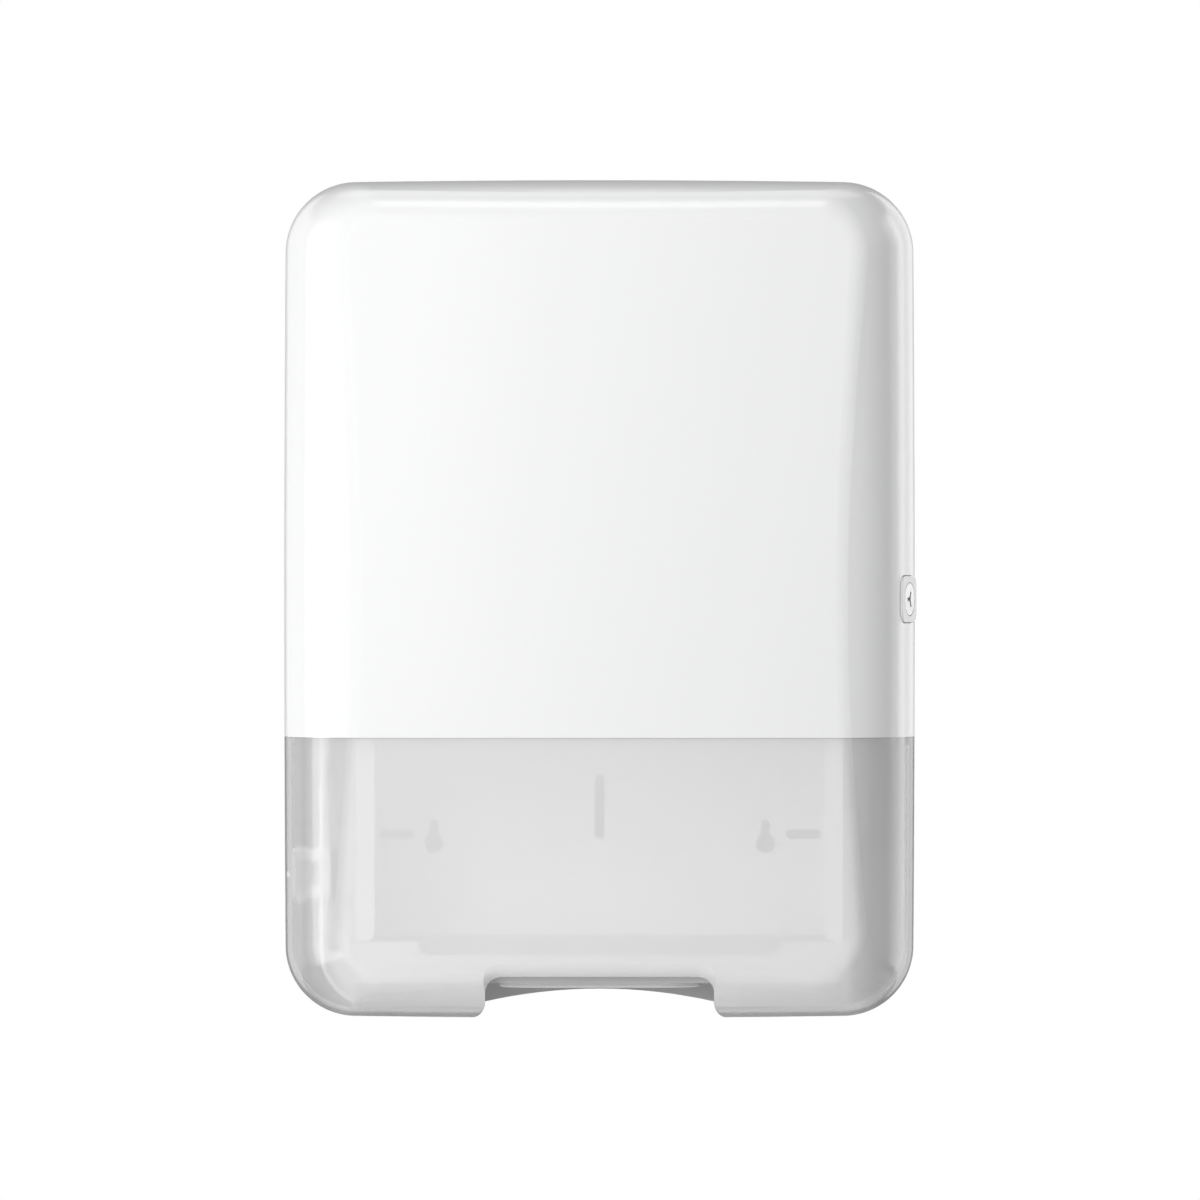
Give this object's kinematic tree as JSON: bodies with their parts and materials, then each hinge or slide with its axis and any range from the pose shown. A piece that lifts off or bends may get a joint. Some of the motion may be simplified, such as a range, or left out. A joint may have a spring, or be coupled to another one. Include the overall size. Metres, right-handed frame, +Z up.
{
  "type": "towel dispenser",
  "caption": "Wall-mounted folded towel dispenser with a white pillow-shaped cover, a clear lower window, a side lock with a push button and a bottom mouth.",
  "frame": {"origin": "middle of the flat back face, on the wall", "axes": "+Y into the wall, +Z up, +X to the right as the user sees it; the front faces -Y"},
  "size_m": [0.332, 0.136, 0.4397],
  "materials": {
    "cover_white": "satin",
    "window_clear": "frosted, lets light through",
    "chassis_grey": "moulded",
    "lip_white": "smooth",
    "lock_plastic": "moulded",
    "zinc_steel": "zinc plated",
    "lock_chrome": "polished"
  },
  "bodies": {
    "wall_side": {"back_plate": "chassis_grey", "left_side_guide": "chassis_grey", "right_side_guide": "chassis_grey", "guide_screws": "zinc_steel", "towel_tray": "chassis_grey", "tray_screws": "zinc_steel", "mouth_lip": "lip_white", "latch_arm": "chassis_grey", "latch_arm_screws": "zinc_steel", "keeper": "zinc_steel", "keeper_screws": "zinc_steel", "hinge_pins": "zinc_steel", "pin_clips": "zinc_steel"},
    "cover": {"upper_cover": "cover_white", "window_cover": "window_clear", "upper_hinge_bracket": "lock_plastic", "lower_hinge_bracket": "lock_plastic", "hinge_bracket_screws": "zinc_steel", "lock_housing": "lock_plastic", "housing_screws": "zinc_steel", "button_spring": "zinc_steel"},
    "button": {"push_button": "cover_white"},
    "cylinder": {"key_cylinder": "lock_chrome", "cylinder_clip": "zinc_steel", "cam_tongue": "zinc_steel", "cam_screw": "zinc_steel"}
  },
  "joints": [
    {"name": "cover_swing", "type": "hinge", "parent": "wall_side", "child": "cover", "pos_m": [-0.1575, -0.0095, 0], "axis": [0, 0, -1], "range_deg": [0, 90]},
    {"name": "button_push", "type": "slide", "parent": "cover", "child": "button", "axis": [-0.9455, 0.3256, 0], "range_m": [0, 0.0035], "stiffness_N_per_m": 500, "springref_m": -0.003, "deforming": ["button_spring"]},
    {"name": "key_turn", "type": "hinge", "parent": "button", "child": "cylinder", "pos_m": [0.16188, -0.09, 0], "axis": [-0.9455, 0.3256, 0], "range_deg": [0, 90]}
  ]
}
